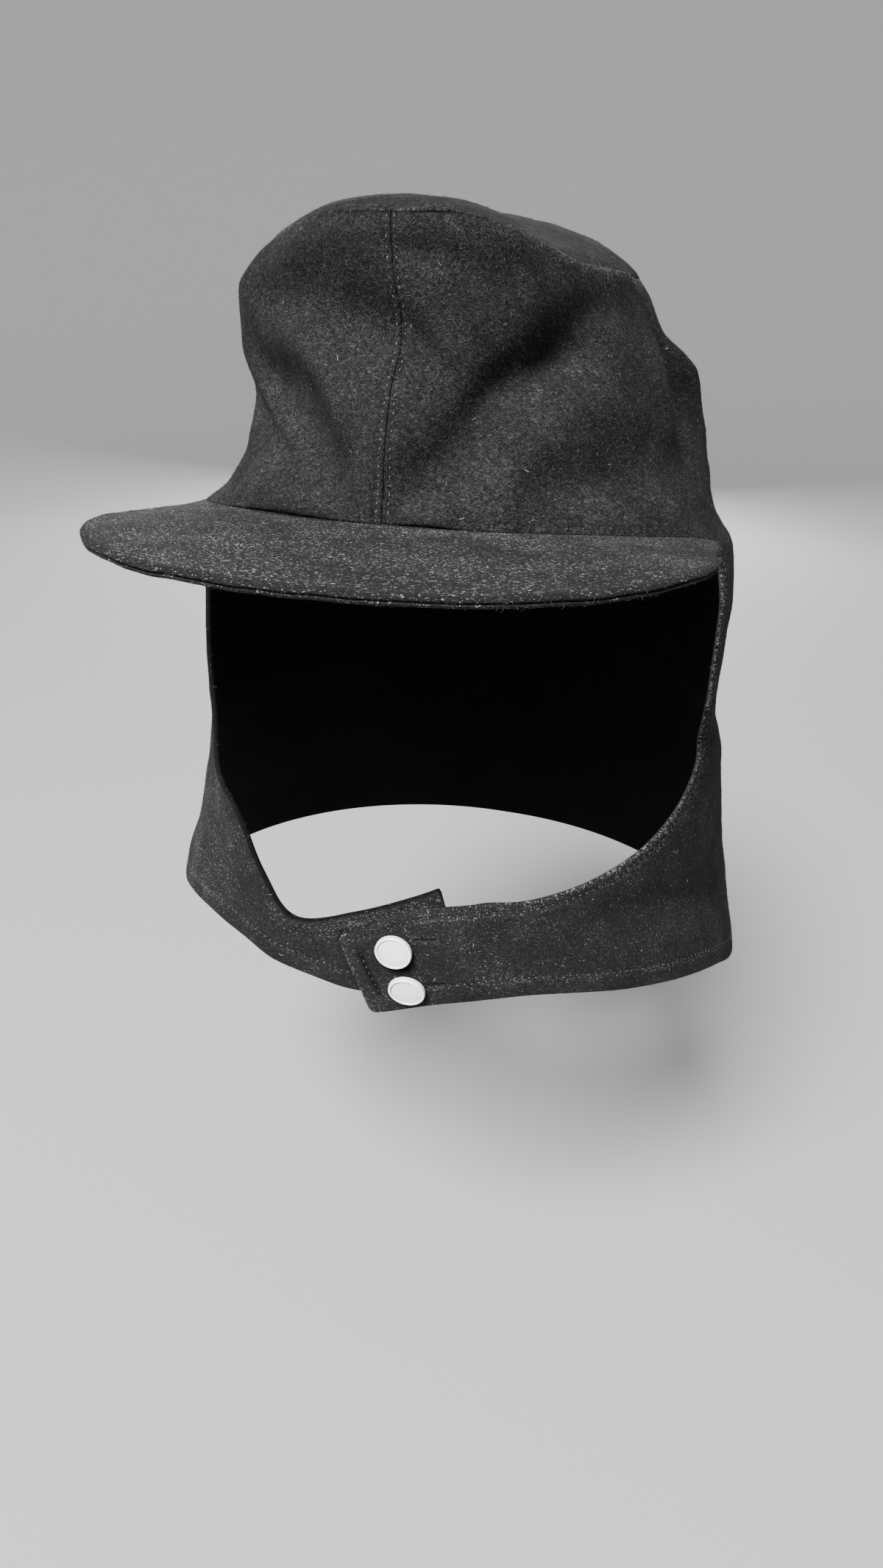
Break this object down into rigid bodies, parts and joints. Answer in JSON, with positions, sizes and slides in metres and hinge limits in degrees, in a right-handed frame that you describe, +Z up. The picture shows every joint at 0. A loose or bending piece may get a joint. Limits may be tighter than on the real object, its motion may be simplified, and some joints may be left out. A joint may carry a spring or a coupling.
{
  "type": "soft peaked field cap with fold-down neck and ear curtain",
  "caption": "Soft kepi-style cap of black felted wool with a cloth peak and a neck and ear curtain buttoned under the chin.",
  "frame": {"origin": "on the middle of the head seat, level with the band line where the crown meets the curtain over the ears", "axes": "+Z up, the wearer faces -Y, +X towards the wearer's left"},
  "size_m": [0.2422, 0.281, 0.2779],
  "materials": {
    "crown_wool": "thick black felted wool, brushed, with pale lint",
    "peak_wool": "black felted wool over a thin stiffener, with a seam round its edge",
    "curtain_wool": "two layers of black felted wool, edges turned and topstitched",
    "button_metal": "bright matt metal with a raised rim and a stippled face"
  },
  "bodies": {
    "root": {"crown_left": "crown_wool", "crown_right": "crown_wool", "crown_tip": "crown_wool", "peak": "peak_wool", "curtain": "curtain_wool", "button_upper": "button_metal", "button_lower": "button_metal"}
  },
  "joints": []
}
